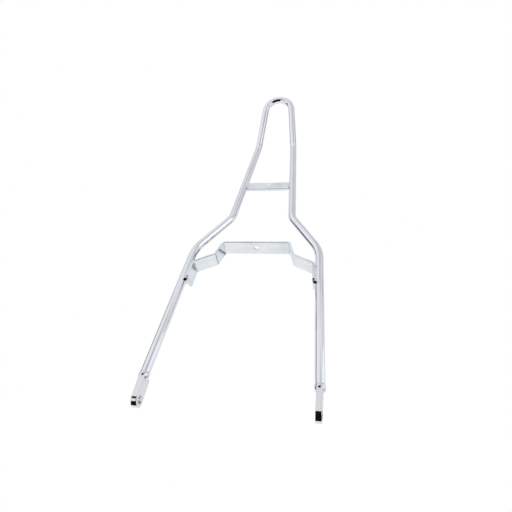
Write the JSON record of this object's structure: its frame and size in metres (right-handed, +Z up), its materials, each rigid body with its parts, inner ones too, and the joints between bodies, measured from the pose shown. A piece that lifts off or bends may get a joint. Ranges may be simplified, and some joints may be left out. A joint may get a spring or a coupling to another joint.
{
  "type": "sissy bar",
  "caption": "Tall narrow backrest hoop of bent round bar with a leaning top, drilled flat feet, a stepped fender strap and a drilled cross strap.",
  "frame": {"origin": "middle of the common axis of the two foot bolt holes", "axes": "+X across the bar along the foot bolts' axis, to the machine's right; +Y forwards; +Z up; the top leans back towards -Y"},
  "size_m": [0.2342, 0.0731, 0.6552],
  "materials": {
    "bar_chrome": "bright chrome plating over polished round bar",
    "plate_chrome": "bright chrome plating over flat steel",
    "strap_chrome": "chrome plating over brushed flat strip",
    "weld_chrome": "chrome plating over rippled weld metal"
  },
  "bodies": {
    "root": {"main_hoop": "bar_chrome", "left_foot": "plate_chrome", "right_foot": "plate_chrome", "fender_strap": "strap_chrome", "cross_strap": "strap_chrome", "left_foot_weld": "weld_chrome", "right_foot_weld": "weld_chrome", "left_tab_weld": "weld_chrome", "right_tab_weld": "weld_chrome", "left_cross_weld_back": "weld_chrome", "left_cross_weld_front": "weld_chrome", "right_cross_weld_back": "weld_chrome", "right_cross_weld_front": "weld_chrome"}
  },
  "joints": []
}
